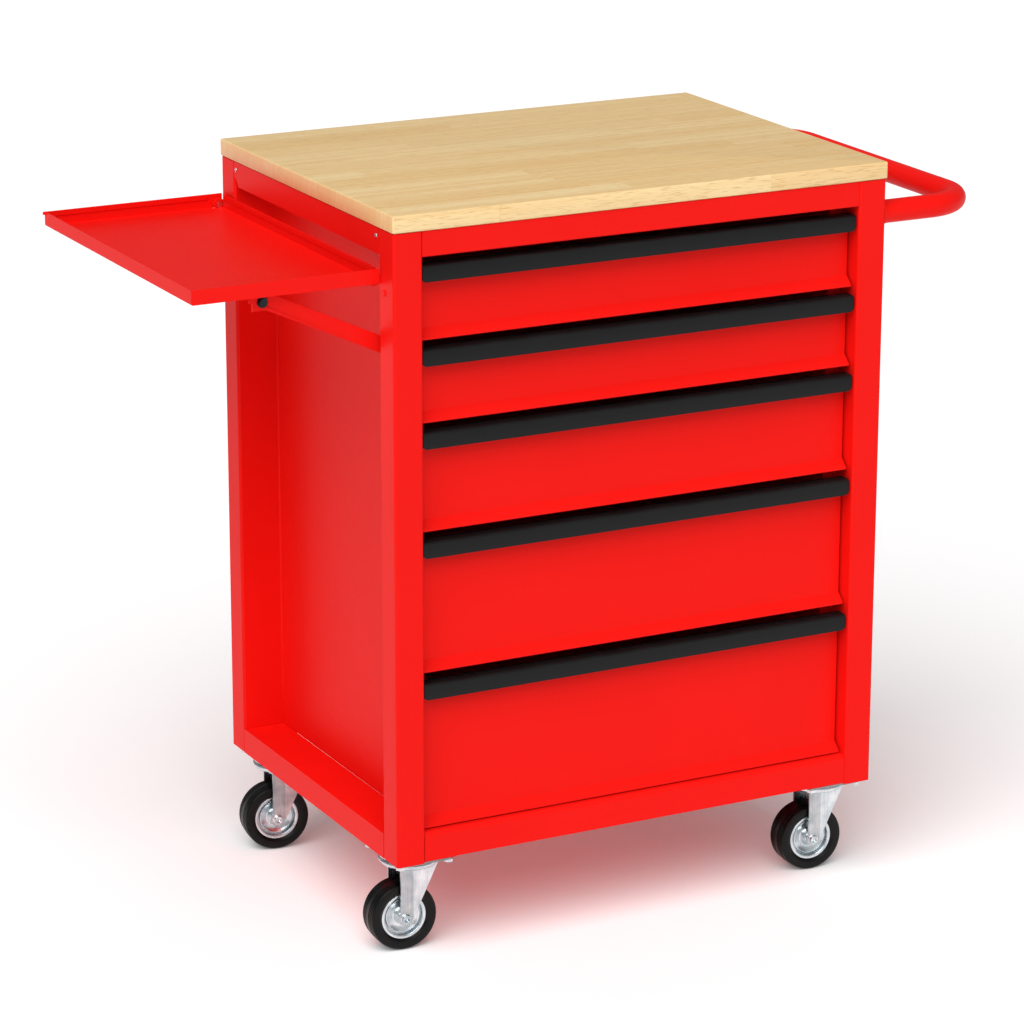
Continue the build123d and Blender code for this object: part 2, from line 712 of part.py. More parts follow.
# ---- casters: fork, axle, rim and tyre at each corner ----
leg_inner = wheel_width / 2 + 1.8
leg_sheet = 2.5
leg_top = crown_top - crown_sheet
fork_front = 31.0
fork_back = 18.5
heel_r = 8.5
hub_half = leg_inner - 1.0
hub_r = 9.0
for (name, site_x, site_y), turn_angle in zip(caster_sites, caster_turns):
    turn = math.radians(turn_angle)
    trail_dir = (-math.cos(turn), math.sin(turn), 0)
    away_dir = (math.sin(turn), math.cos(turn), 0)
    wheel_x = site_x + trail_dir[0] * caster_trail
    wheel_y = site_y + trail_dir[1] * caster_trail

    with BuildPart() as caster_fork:
        with BuildSketch(Plane.XY.offset(crown_top - crown_sheet)):
            with Locations((site_x, site_y)):
                Circle(crown_r)
                Circle(kingpin_r + bearing_play, mode=Mode.SUBTRACT)
        extrude(amount=crown_sheet)
        with BuildSketch(Plane.XY.offset(crown_top - crown_sheet - crown_skirt)):
            with Locations((site_x, site_y)):
                Circle(crown_r)
                Circle(crown_r - crown_sheet, mode=Mode.SUBTRACT)
        extrude(amount=crown_skirt)
        for leg_start in (-leg_inner - leg_sheet, leg_inner):
            leg_origin = (site_x + away_dir[0] * leg_start, site_y + away_dir[1] * leg_start, 0)
            with BuildSketch(Plane(origin=leg_origin, x_dir=trail_dir, z_dir=away_dir)):
                with BuildLine():
                    Polyline(
                        (-fork_front, leg_top),
                        (caster_trail - heel_r + 1.0, wheel_r + 5.0),
                        (caster_trail - heel_r, wheel_r),
                        (caster_trail + heel_r, wheel_r),
                        (fork_back, wheel_r + 12.0),
                        (fork_back, leg_top),
                        close=True,
                    )
                make_face()
                with Locations((caster_trail, wheel_r)):
                    Circle(heel_r)
                    Circle(axle_r, mode=Mode.SUBTRACT)
            extrude(amount=leg_sheet)
    caster_fork.part.label = "caster_fork_" + name
    export_step(caster_fork.part, "parts/caster_fork_" + name + ".step")

    axle_line = Axis(origin=(wheel_x, wheel_y, wheel_r), direction=away_dir)
    half_plane = Plane(
        origin=(wheel_x, wheel_y, wheel_r),
        x_dir=away_dir,
        z_dir=(-trail_dir[0], -trail_dir[1], 0),
    )
    leg_outer = leg_inner + leg_sheet
    with BuildPart() as caster_axle:
        with BuildSketch(half_plane):
            with BuildLine():
                Polyline(
                    (-leg_outer - 3.4, 0),
                    (-leg_outer - 3.4, 4.6),
                    (-leg_outer - 2.6, 5.6),
                    (-leg_outer - 1.0, 5.6),
                    (-leg_outer - 1.0, 7.6),
                    (-leg_outer, 7.6),
                    (-leg_outer, axle_r),
                    (leg_outer, axle_r),
                    (leg_outer, 6.4),
                    (leg_outer + 5.0, 6.4),
                    (leg_outer + 5.0, axle_r),
                    (leg_outer + 7.0, axle_r - 0.8),
                    (leg_outer + 7.0, 0),
                    close=True,
                )
            make_face()
        revolve(axis=axle_line)
    caster_axle.part.label = "caster_axle_" + name
    export_step(caster_axle.part, "parts/caster_axle_" + name + ".step")

    bore_r = axle_r + bearing_play
    dish = 7.0
    rim_half = wheel_width / 2 - 3.0
    with BuildPart() as wheel_rim:
        with BuildSketch(half_plane):
            with BuildLine():
                Polyline(
                    (-hub_half, bore_r),
                    (-hub_half, hub_r),
                    (-dish - 3.0, hub_r + 1.5),
                    (-dish, rim_r - 8.0),
                    (-rim_half + 2.0, rim_r - 5.0),
                    (-rim_half, rim_r - 4.0),
                    (-rim_half, rim_r),
                    (rim_half, rim_r),
                    (rim_half, rim_r - 4.0),
                    (rim_half - 2.0, rim_r - 5.0),
                    (dish, rim_r - 8.0),
                    (dish + 3.0, hub_r + 1.5),
                    (hub_half, hub_r),
                    (hub_half, bore_r),
                    close=True,
                )
            make_face()
        revolve(axis=axle_line)
    wheel_rim.part.label = "wheel_rim_" + name
    export_step(wheel_rim.part, "parts/wheel_rim_" + name + ".step")

    half_tread = wheel_width / 2
    groove = 1.6
    with BuildPart() as wheel_tyre:
        with BuildSketch(half_plane):
            with BuildLine():
                Polyline(
                    (-rim_half - 1.5, rim_r),
                    (-half_tread, rim_r + 4.0),
                    (-half_tread, wheel_r - 5.0),
                    (-half_tread + 1.5, wheel_r - 1.6),
                    (-half_tread + 4.0, wheel_r),
                    (-3.0, wheel_r),
                    (-2.2, wheel_r - groove),
                    (2.2, wheel_r - groove),
                    (3.0, wheel_r),
                    (half_tread - 4.0, wheel_r),
                    (half_tread - 1.5, wheel_r - 1.6),
                    (half_tread, wheel_r - 5.0),
                    (half_tread, rim_r + 4.0),
                    (rim_half + 1.5, rim_r),
                    close=True,
                )
            make_face()
        revolve(axis=axle_line)
    wheel_tyre.part.label = "wheel_tyre_" + name
    export_step(wheel_tyre.part, "parts/wheel_tyre_" + name + ".step")
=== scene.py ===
import json
import math

import bmesh
import bpy
from mathutils import Matrix, Vector


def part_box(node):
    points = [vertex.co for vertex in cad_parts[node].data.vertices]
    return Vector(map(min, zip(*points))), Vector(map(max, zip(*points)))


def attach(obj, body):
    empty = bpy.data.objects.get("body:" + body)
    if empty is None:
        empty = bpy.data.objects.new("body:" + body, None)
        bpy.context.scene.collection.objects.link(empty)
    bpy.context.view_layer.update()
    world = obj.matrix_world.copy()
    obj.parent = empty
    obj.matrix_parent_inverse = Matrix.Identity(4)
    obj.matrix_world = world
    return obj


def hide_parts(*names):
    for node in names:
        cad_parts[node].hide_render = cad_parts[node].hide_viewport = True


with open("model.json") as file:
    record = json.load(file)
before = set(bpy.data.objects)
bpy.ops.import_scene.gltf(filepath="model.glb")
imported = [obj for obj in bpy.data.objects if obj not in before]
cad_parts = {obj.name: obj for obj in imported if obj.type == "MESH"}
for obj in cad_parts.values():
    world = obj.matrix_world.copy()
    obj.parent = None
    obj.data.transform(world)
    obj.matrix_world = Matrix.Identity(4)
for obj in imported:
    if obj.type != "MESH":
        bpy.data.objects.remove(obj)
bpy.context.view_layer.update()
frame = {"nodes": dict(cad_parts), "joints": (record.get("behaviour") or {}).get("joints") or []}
nodes = frame["nodes"]
print("frame loaded:", len(nodes), "CAD nodes")

mm = 0.001
up = Vector((0, 0, 1))
cornerNames = ["front_left", "front_right", "rear_left", "rear_right"]
drawerNumbers = [1, 2, 3, 4, 5]


def linear(hexColour):
    # sRGB hex to the linear values a shader takes
    parts = [int(hexColour[i:i + 2], 16) / 255 for i in (1, 3, 5)]
    return [p / 12.92 if p <= 0.04045 else ((p + 0.055) / 1.055) ** 2.4 for p in parts] + [1.0]


def addNode(tree, kind, inputs=None, **settings):
    # one node with its settings, its values and its links
    made = tree.nodes.new(kind)
    for setting, value in settings.items():
        setattr(made, setting, value)
    for socket, value in (inputs or {}).items():
        if isinstance(value, bpy.types.NodeSocket):
            tree.links.new(value, made.inputs[socket])
        else:
            made.inputs[socket].default_value = value
    return made


def startFinish(name):
    finish = bpy.data.materials.new(name)
    finish.use_nodes = True
    tree = finish.node_tree
    tree.nodes.clear()
    place = tree.nodes.new("ShaderNodeTexCoord").outputs["Object"]  # metres, the same for every piece
    return finish, tree, place


def closeFinish(tree, inputs):
    shader = addNode(tree, "ShaderNodeBsdfPrincipled", inputs)
    addNode(tree, "ShaderNodeOutputMaterial", {"Surface": shader.outputs[0]})


# finishes, each named for the real material and how its surface was made

powderCoatLook = {
    "colour": "#EE1711",
    "thinColour": "#E6130D",
    "roughness": 0.42,
    "specular": 0.08,
    "orangePeelMm": 2.4,  # waves of a sprayed and baked film; real ones run 1 to 3 mm
    "grainMm": 0.7,  # fine texture of the powder, drawn twice as coarse so that it shows
    "driftPerM": 7.0,  # slow change of tone from thin to full film
    "peelDepthMm": 0.12,
    "grainDepthMm": 0.05,
}


def makePowderCoat():
    # polyester powder coat on folded steel: even strong colour, soft gloss,
    # and a faint orange peel in the highlights
    look = powderCoatLook
    finish, tree, place = startFinish("red powder coat on steel")
    peel = addNode(tree, "ShaderNodeTexNoise", {
        "Vector": place, "Scale": 1 / (look["orangePeelMm"] * mm), "Detail": 1.5,
    })
    grain = addNode(tree, "ShaderNodeTexNoise", {
        "Vector": place, "Scale": 1 / (look["grainMm"] * mm), "Detail": 1.0,
    })
    drift = addNode(tree, "ShaderNodeTexNoise", {
        "Vector": place, "Scale": look["driftPerM"], "Detail": 2.0,
    })
    tone = addNode(tree, "ShaderNodeMix", {
        0: drift.outputs[0], 6: linear(look["colour"]), 7: linear(look["thinColour"]),
    }, data_type="RGBA")
    gloss = addNode(tree, "ShaderNodeMapRange", {
        0: peel.outputs[0], 1: 0.3, 2: 0.7, 3: look["roughness"] - 0.04, 4: look["roughness"] + 0.05,
    })
    waves = addNode(tree, "ShaderNodeBump", {
        "Strength": 0.10, "Distance": look["peelDepthMm"] * mm, "Height": peel.outputs[0],
    })
    relief = addNode(tree, "ShaderNodeBump", {
        "Strength": 0.06, "Distance": look["grainDepthMm"] * mm, "Height": grain.outputs[0],
        "Normal": waves.outputs[0],
    })
    closeFinish(tree, {
        "Base Color": tone.outputs[2],
        "Roughness": gloss.outputs[0],
        "IOR": 1.5,
        "Specular IOR Level": look["specular"],
        "Normal": relief.outputs[0],
    })
    return finish


beechLook = {
    "pale": "#F5DBA6",
    "warm": "#E5BB7B",
    "pore": "#B98446",
    "seam": "#C39455",
    "endGrain": "#EEC78A",
    "staveWidthMm": 38.0,  # across the board, front to back
    "staveLengthMm": 340.0,  # along the board, left to right
    "ringMm": 7.0,  # spacing of the growth rings
    "ringsAlongPerM": 1.6,  # the rings run nearly straight along a stave
    "ringLean": 0.28,  # how much slower they change through the thickness
    "poreMm": 0.5,  # across the grain; real pores are 0.1 mm, drawn coarser so that they show
    "poresAlongPerM": 55.0,
    "poreAmount": 0.62,
    "staveContrast": 0.62,
    "staveShift": 3.7,  # how far the rows slide past each other, in staves
    "endGrainAmount": 0.55,
    "poreDepthMm": 0.1,
    "roughness": 0.46,
}


def makeBeech():
    # edge-glued beech staves, sanded and oiled: warm pale bands that change
    # from stave to stave, with fine dashes of pore
    look = beechLook
    finish, tree, place = startFinish("oiled beech staves")
    axes = addNode(tree, "ShaderNodeSeparateXYZ", {0: place})
    row = addNode(tree, "ShaderNodeMath", {
        0: axes.outputs[1], 1: look["staveWidthMm"] * mm,
    }, operation="DIVIDE")
    rowIndex = addNode(tree, "ShaderNodeMath", {0: row.outputs[0]}, operation="FLOOR")
    rowRandom = addNode(tree, "ShaderNodeTexWhiteNoise", {
        "W": rowIndex.outputs[0],
    }, noise_dimensions="1D")
    along = addNode(tree, "ShaderNodeMath", {
        0: axes.outputs[0], 1: look["staveLengthMm"] * mm,
    }, operation="DIVIDE")
    shifted = addNode(tree, "ShaderNodeMath", {
        0: rowRandom.outputs[0], 1: look["staveShift"], 2: along.outputs[0],
    }, operation="MULTIPLY_ADD")
    staveIndex = addNode(tree, "ShaderNodeMath", {0: shifted.outputs[0]}, operation="FLOOR")
    stave = addNode(tree, "ShaderNodeCombineXYZ", {
        0: staveIndex.outputs[0], 1: rowIndex.outputs[0], 2: 0.5,
    })
    staveRandom = addNode(tree, "ShaderNodeTexWhiteNoise", {
        "Vector": stave.outputs[0],
    }, noise_dimensions="3D")
    offset = addNode(tree, "ShaderNodeVectorMath", {
        0: staveRandom.outputs[1], 1: (3.0, 3.0, 3.0),
    }, operation="MULTIPLY")
    moved = addNode(tree, "ShaderNodeVectorMath", {0: place, 1: offset.outputs[0]}, operation="ADD")

    # growth rings: slow along the stave, close across it, and almost upright through the thickness
    ringScale = 1 / (look["ringMm"] * mm)
    ringPlace = addNode(tree, "ShaderNodeVectorMath", {
        0: moved.outputs[0], 1: (look["ringsAlongPerM"], ringScale, ringScale * look["ringLean"]),
    }, operation="MULTIPLY")
    rings = addNode(tree, "ShaderNodeTexNoise", {
        "Vector": ringPlace.outputs[0], "Scale": 1.0, "Detail": 3.0, "Roughness": 0.62, "Distortion": 0.5,
    })
    fibreScale = 1 / (look["poreMm"] * mm)
    fibrePlace = addNode(tree, "ShaderNodeVectorMath", {
        0: moved.outputs[0], 1: (look["poresAlongPerM"], fibreScale, fibreScale * 0.5),
    }, operation="MULTIPLY")
    fibres = addNode(tree, "ShaderNodeTexNoise", {
        "Vector": fibrePlace.outputs[0], "Scale": 1.0, "Detail": 2.0,
    })
    dashes = addNode(tree, "ShaderNodeMapRange", {
        0: fibres.outputs[0], 1: 0.55, 2: 0.72, 3: 0.0, 4: look["poreAmount"],
    })

    ringBlend = addNode(tree, "ShaderNodeMapRange", {
        0: rings.outputs[0], 1: 0.38, 2: 0.7, 3: 0.0, 4: 0.8,
    })
    base = addNode(tree, "ShaderNodeMix", {
        0: ringBlend.outputs[0], 6: linear(look["pale"]), 7: linear(look["warm"]),
    }, data_type="RGBA")
    shadeAmount = addNode(tree, "ShaderNodeMapRange", {
        0: staveRandom.outputs[0], 1: 0.0, 2: 1.0, 3: 0.0, 4: look["staveContrast"],
    })
    shaded = addNode(tree, "ShaderNodeMix", {
        0: shadeAmount.outputs[0], 6: base.outputs[2], 7: linear(look["warm"]),
    }, data_type="RGBA")
    pored = addNode(tree, "ShaderNodeMix", {
        0: dashes.outputs[0], 6: shaded.outputs[2], 7: linear(look["pore"]),
    }, data_type="RGBA")

    # glue lines between rows and where two staves meet end to end
    rowPart = addNode(tree, "ShaderNodeMath", {0: row.outputs[0]}, operation="FRACT")
    rowEdge = addNode(tree, "ShaderNodeMath", {0: rowPart.outputs[0], 1: 0.5}, operation="SUBTRACT")
    rowFar = addNode(tree, "ShaderNodeMath", {0: rowEdge.outputs[0]}, operation="ABSOLUTE")
    rowSeam = addNode(tree, "ShaderNodeMapRange", {
        0: rowFar.outputs[0], 1: 0.488, 2: 0.5, 3: 0.0, 4: 0.5,
    })
    endPart = addNode(tree, "ShaderNodeMath", {0: shifted.outputs[0]}, operation="FRACT")
    endEdge = addNode(tree, "ShaderNodeMath", {0: endPart.outputs[0], 1: 0.5}, operation="SUBTRACT")
    endFar = addNode(tree, "ShaderNodeMath", {0: endEdge.outputs[0]}, operation="ABSOLUTE")
    endSeam = addNode(tree, "ShaderNodeMapRange", {
        0: endFar.outputs[0], 1: 0.4988, 2: 0.5, 3: 0.0, 4: 0.4,
    })
    seams = addNode(tree, "ShaderNodeMath", {
        0: rowSeam.outputs[0], 1: endSeam.outputs[0],
    }, operation="MAXIMUM")
    seamed = addNode(tree, "ShaderNodeMix", {
        0: seams.outputs[0], 6: pored.outputs[2], 7: linear(look["seam"]),
    }, data_type="RGBA")

    # sawn end grain on the short faces has its own tone
    facing = addNode(tree, "ShaderNodeNewGeometry")
    normalAxes = addNode(tree, "ShaderNodeSeparateXYZ", {0: facing.outputs["True Normal"]})
    sideways = addNode(tree, "ShaderNodeMath", {0: normalAxes.outputs[0]}, operation="ABSOLUTE")
    isEnd = addNode(tree, "ShaderNodeMapRange", {
        0: sideways.outputs[0], 1: 0.6, 2: 0.9, 3: 0.0, 4: look["endGrainAmount"],
    })
    colour = addNode(tree, "ShaderNodeMix", {
        0: isEnd.outputs[0], 6: seamed.outputs[2], 7: linear(look["endGrain"]),
    }, data_type="RGBA")
    gloss = addNode(tree, "ShaderNodeMapRange", {
        0: rings.outputs[0], 1: 0.2, 2: 0.8, 3: look["roughness"] - 0.05, 4: look["roughness"] + 0.09,
    })
    grooves = addNode(tree, "ShaderNodeBump", {
        "Strength": 0.18, "Distance": look["poreDepthMm"] * mm, "Height": fibres.outputs[0],
    })
    closeFinish(tree, {
        "Base Color": colour.outputs[2],
        "Roughness": gloss.outputs[0],
        "IOR": 1.47,
        "Normal": grooves.outputs[0],
    })
    return finish


gripPlasticLook = {
    "colour": "#0C0C0D",
    "worn": "#131314",
    "roughness": 0.36,
    "specular": 0.2,
    "sparkMm": 0.8,  # spark-eroded mould grain, drawn at twice its real 0.4 mm
    "sparkDepthMm": 0.06,
    "cloudPerM": 26.0,  # slow change of gloss from handling
}


def makeGripPlastic():
    # moulded polyamide: near-black with a fine eroded grain that breaks the highlight into a soft sheen
    look = gripPlasticLook
    finish, tree, place = startFinish("black moulded polyamide")
    spark = addNode(tree, "ShaderNodeTexVoronoi", {"Vector": place, "Scale": 1 / (look["sparkMm"] * mm)})
    cloud = addNode(tree, "ShaderNodeTexNoise", {
        "Vector": place, "Scale": look["cloudPerM"], "Detail": 3.0,
    })
    tone = addNode(tree, "ShaderNodeMix", {
        0: cloud.outputs[0], 6: linear(look["colour"]), 7: linear(look["worn"]),
    }, data_type="RGBA")
    gloss = addNode(tree, "ShaderNodeMapRange", {
        0: cloud.outputs[0], 1: 0.3, 2: 0.7, 3: look["roughness"] - 0.06, 4: look["roughness"] + 0.08,
    })
    relief = addNode(tree, "ShaderNodeBump", {
        "Strength": 0.22, "Distance": look["sparkDepthMm"] * mm, "Height": spark.outputs[0],
    })
    closeFinish(tree, {
        "Base Color": tone.outputs[2],
        "Roughness": gloss.outputs[0],
        "IOR": 1.53,
        "Specular IOR Level": look["specular"],
        "Normal": relief.outputs[0],
    })
    return finish


zincLook = {
    "bright": "#EEF3F5",
    "blue": "#A3B4BC",
    "lineTone": "#8C989D",
    "shadeAndBlackTone": "#141516",  # painted shade on the fork strips and the caster plates, and the colour of black zinc
    "roughness": 0.26,
    "spangleMm": 16.0,  # slow patches left by the plating bath
    "drawMm": 1.0,  # upright lines left by the press, twice their real width so that they show
    "drawPerM": 22.0,  # how slowly a line changes along its length
    "drawDepthMm": 0.05,
}


def makeZinc(name, darkening=0.0):
    # bright zinc plating with a blue passivate: a hazy mirror with faint cold patches
    look = zincLook
    finish, tree, place = startFinish(name)
    patches = addNode(tree, "ShaderNodeTexNoise", {
        "Vector": place, "Scale": 1 / (look["spangleMm"] * mm), "Detail": 3.0,
    })
    lineScale = 1 / (look["drawMm"] * mm)
    lineSpread = (lineScale, lineScale, look["drawPerM"])
    linePlace = addNode(tree, "ShaderNodeVectorMath", {0: place, 1: lineSpread}, operation="MULTIPLY")
    lines = addNode(tree, "ShaderNodeTexNoise", {
        "Vector": linePlace.outputs[0], "Scale": 1.0, "Detail": 3.0,
    })
    patchBlend = addNode(tree, "ShaderNodeMapRange", {
        0: patches.outputs[0], 1: 0.3, 2: 0.7, 3: 0.0, 4: 0.7,
    })
    tone = addNode(tree, "ShaderNodeMix", {
        0: patchBlend.outputs[0], 6: linear(look["bright"]), 7: linear(look["blue"]),
    }, data_type="RGBA")
    lineBlend = addNode(tree, "ShaderNodeMapRange", {
        0: lines.outputs[0], 1: 0.48, 2: 0.75, 3: 0.0, 4: 0.4,
    })
    lined = addNode(tree, "ShaderNodeMix", {
        0: lineBlend.outputs[0], 6: tone.outputs[2], 7: linear(look["lineTone"]),
    }, data_type="RGBA")
    # mixes in painted shade (fork strips, caster plates) or the real black of black zinc, by the darkening
    # given
    paintedShadeOrBlack = addNode(tree, "ShaderNodeMix", {
        0: darkening, 6: lined.outputs[2], 7: linear(look["shadeAndBlackTone"]),
    }, data_type="RGBA")
    gloss = addNode(tree, "ShaderNodeMapRange", {
        0: lines.outputs[0], 1: 0.3, 2: 0.7, 3: look["roughness"] - 0.05, 4: look["roughness"] + 0.09,
    })
    relief = addNode(tree, "ShaderNodeBump", {
        "Strength": 0.06, "Distance": look["drawDepthMm"] * mm, "Height": lines.outputs[0],
    })
    closeFinish(tree, {
        "Base Color": paintedShadeOrBlack.outputs[2],
        "Metallic": 1.0,
        "Roughness": gloss.outputs[0],
        "Normal": relief.outputs[0],
    })
    return finish


rubberLook = {
    "colour": "#040404",
    "dusty": "#090909",
    "roughness": 0.33,
    "specular": 0.2,
    "grainMm": 1.1,  # skin of the mould
    "grainDepthMm": 0.1,
    "dustPerM": 60.0,
}


def makeRubber():
    # moulded black rubber tyre: almost no colour, a broad dull sheen, a trace of dust on the tread
    look = rubberLook
    finish, tree, place = startFinish("black rubber tyre")
    skin = addNode(tree, "ShaderNodeTexNoise", {
        "Vector": place, "Scale": 1 / (look["grainMm"] * mm), "Detail": 3.0,
    })
    dust = addNode(tree, "ShaderNodeTexNoise", {
        "Vector": place, "Scale": look["dustPerM"], "Detail": 3.0,
    })
    amount = addNode(tree, "ShaderNodeMapRange", {0: dust.outputs[0], 1: 0.4, 2: 0.75, 3: 0.0, 4: 0.6})
    tone = addNode(tree, "ShaderNodeMix", {
        0: amount.outputs[0], 6: linear(look["colour"]), 7: linear(look["dusty"]),
    }, data_type="RGBA")
    gloss = addNode(tree, "ShaderNodeMapRange", {
        0: skin.outputs[0], 1: 0.3, 2: 0.7, 3: look["roughness"] - 0.07, 4: look["roughness"] + 0.1,
    })
    relief = addNode(tree, "ShaderNodeBump", {
        "Strength": 0.2, "Distance": look["grainDepthMm"] * mm, "Height": skin.outputs[0],
    })
    closeFinish(tree, {
        "Base Color": tone.outputs[2],
        "Roughness": gloss.outputs[0],
        "IOR": 1.52,
        "Specular IOR Level": look["specular"],
        "Normal": relief.outputs[0],
    })
    return finish


redCoat = makePowderCoat()
beech = makeBeech()
gripPlastic = makeGripPlastic()
zincPlate = makeZinc("bright zinc plate")
zincStripPaintedShade = makeZinc("zinc plate with painted shade", 0.3)  # painted shade: the legs' upright strips are drawn darker than their webs, in place of a different reflection
zincShade = makeZinc("zinc plate with painted shadow", 0.6)  # painted shadow: the top plates are drawn darker, as if in shade under the frame
blackZinc = makeZinc("black zinc plate", 0.97)
tyreRubber = makeRubber()
print("finishes made")


# helpers for the pieces

def keepPiece(
    name, shape, body, finishes, replaced=(), ease=0.0, easeSteps=2, sheet=0.0, easeAngle=28
):
    # turns a bmesh into a piece that rides on a body;
    # an open sheet keeps its normals and gets its thickness inwards
    if not sheet:
        bmesh.ops.recalc_face_normals(shape, faces=shape.faces)
    data = bpy.data.meshes.new(name)
    shape.to_mesh(data)
    shape.free()
    for polygon in data.polygons:
        polygon.use_smooth = True
    for finish in finishes:
        data.materials.append(finish)
    piece = bpy.data.objects.new(name, data)
    bpy.context.scene.collection.objects.link(piece)
    if sheet:
        thicken = piece.modifiers.new("sheet", "SOLIDIFY")
        thicken.thickness = sheet
        thicken.offset = -1.0
        thicken.use_even_offset = True
    if ease:
        addEase(piece, ease, easeSteps, easeAngle)
    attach(piece, body)
    if replaced:
        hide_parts(*replaced)


def faceOutward(shape, direction, start=Vector((0, 0, 0))):
    # turns each face so that it looks away from start, judged along one direction
    shape.normal_update()
    for face in shape.faces:
        side = (face.calc_center_median() - start).dot(direction)
        if face.normal.dot(direction) * side < 0:
            face.normal_flip()


def addEase(piece, width, steps=2, angle=28):
    soften = piece.modifiers.new("eased edges", "BEVEL")
    soften.width = width
    soften.segments = steps
    soften.limit_method = "ANGLE"
    soften.angle_limit = math.radians(angle)
    soften.harden_normals = True
    soften.use_clamp_overlap = True


def turnProfile(shape, profile, centre, axis, steps=96, closed=True):
    # spins (distance along the axis, radius) points in millimetres round the axis
    axis = axis.normalized()
    side = axis.orthogonal().normalized()
    other = axis.cross(side)
    rings = []
    for along, radius in profile:
        middle = centre + axis * along * mm
        if radius < 1e-6:
            rings.append([shape.verts.new(middle)])
            continue
        ring = []
        for step in range(steps):
            angle = 2 * math.pi * step / steps
            out = side * math.cos(angle) + other * math.sin(angle)
            ring.append(shape.verts.new(middle + out * radius * mm))
        rings.append(ring)
    pairs = list(zip(rings, rings[1:])) + ([(rings[-1], rings[0])] if closed else [])
    for first, second in pairs:
        if len(first) == 1 and len(second) == 1:
            continue
        for step in range(steps):
            following = (step + 1) % steps
            if len(first) == 1:
                shape.faces.new((first[0], second[step], second[following]))
            elif len(second) == 1:
                shape.faces.new((first[step], first[following], second[0]))
            else:
                shape.faces.new((first[step], first[following], second[following], second[step]))


def roundCorners(points, radii, steps=5):
    # replaces each inner corner of an open path with an arc of its radius
    rounded = [Vector(points[0])]
    for i in range(1, len(points) - 1):
        corner, before, after = Vector(points[i]), Vector(points[i - 1]), Vector(points[i + 1])
        inward, outward = (before - corner).normalized(), (after - corner).normalized()
        half = inward.angle(outward) / 2
        room = min((before - corner).length * 0.49, (after - corner).length * 0.49)
        cut = min(radii[i - 1] / math.tan(half), room)
        start, end = corner + inward * cut, corner + outward * cut
        for step in range(steps + 1):
            t = step / steps
            rounded.append(start * (1 - t) ** 2 + corner * 2 * t * (1 - t) + end * t ** 2)
    rounded.append(Vector(points[-1]))
    return rounded


def boxOf(node):
    low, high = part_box(node)
    return low / mm, high / mm


# sheet metal that keeps its CAD shape: posts, rails, panels and drawer boxes

coatedNodes = [
    "post_front_left", "post_front_right", "post_rear_left", "post_rear_right",
    "top_rail_front", "top_rail_left", "top_rail_right",
    "base_rail_front", "base_rail_left", "base_rail_right",
    "side_panel_left", "side_panel_right", "rear_panel", "base_panel",
    "push_handle", "handle_flanges", "post_rivets", "side_tray", "tray_struts", "hinge_lugs",
]
coatedNodes += ["drawer_box_%d" % number for number in drawerNumbers]
platedNodes = ["runners_left", "runners_right", "strut_pivots", "tray_hinge_pins", "plate_bolts"]
commonEaseMm = 0.5  # bend radius that shows on a coated sheet edge
edgeEaseMm = {
    "push_handle": 0.0,
    "post_rivets": 0.0,
    "handle_flanges": 0.4,
    "side_tray": 0.35,
    "top_rail_left": 0.0,
    "top_rail_right": 0.0,
}


def dressNode(name, finish):
    node = nodes[name]
    if not node.material_slots:
        node.data.materials.append(finish)
    for holder in node.material_slots:
        holder.link = "OBJECT"
        holder.material = finish
    ease = edgeEaseMm.get(name, commonEaseMm)
    if ease:
        weld = node.modifiers.new("joined faces", "WELD")
        weld.merge_threshold = 0.01 * mm
        addEase(node, ease * mm)


for name in coatedNodes:
    dressNode(name, redCoat)
for name in platedNodes:
    dressNode(name, zincPlate)
# the top plates get the zinc with painted shadow
dressNode("caster_plates", zincShade)
dressNode("tray_bolts", blackZinc)
print("carried-over nodes dressed")


# worktop: eased edges, and a shadow gap where the board sits on the frame

boardLook = {
    "cornerMm": 2.0,
    "gapMm": 1.0,  # height of the shadow gap
    "gapDepthMm": 2.6,
    "lipMm": 0.35,  # small ease under the board's lower edge
    "lipRiseMm": 0.8,
    "topEaseMm": 1.5,
    "cornerSteps": 6,
    "easeSteps": 5,
}


def makeBoard():
    low, high = boxOf("worktop")
    gapTop, easeMm = low.z + boardLook["gapMm"], boardLook["topEaseMm"]
    gapDepth, cornerSteps = boardLook["gapDepthMm"], boardLook["cornerSteps"]
    levels = [  # height, and how far the edge stands in
        (low.z, gapDepth),
        (gapTop, gapDepth),
        (gapTop + 0.1, boardLook["lipMm"]),
        (gapTop + boardLook["lipRiseMm"], 0.0),
    ]
    for step in range(boardLook["easeSteps"] + 1):
        turn = math.pi / 2 * step / boardLook["easeSteps"]
        levels.append((high.z - easeMm + easeMm * math.sin(turn), easeMm * (1 - math.cos(turn))))
    shape = bmesh.new()
    rings = []
    for z, inset in levels:
        radius = boardLook["cornerMm"]
        ring = []
        corners = [(high.x, high.y, 0), (low.x, high.y, 1), (low.x, low.y, 2), (high.x, low.y, 3)]
        for x, y, quarter in corners:
            middleX = x - math.copysign(radius + inset, x - (low.x + high.x) / 2)
            middleY = y - math.copysign(radius + inset, y - (low.y + high.y) / 2)
            for step in range(cornerSteps + 1):
                angle = math.pi / 2 * (quarter + step / cornerSteps)
                place = Vector((middleX + radius * math.cos(angle), middleY + radius * math.sin(angle), z))
                ring.append(shape.verts.new(place * mm))
        rings.append(ring)
    for first, second in zip(rings, rings[1:]):
        for i in range(len(first)):
            following = (i + 1) % len(first)
            shape.faces.new((first[i], first[following], second[following], second[i]))
    shape.faces.new(rings[-1])
    shape.faces.new(list(reversed(rings[0])))
    keepPiece(
        "stave_board", shape, "cabinet", [beech], ("worktop",),
        ease=0.1 * mm, easeSteps=1, easeAngle=50,
    )


makeBoard()
print("worktop made")


# drawer fronts: pressed sheet with a flared lower lip, and moulded grip strips

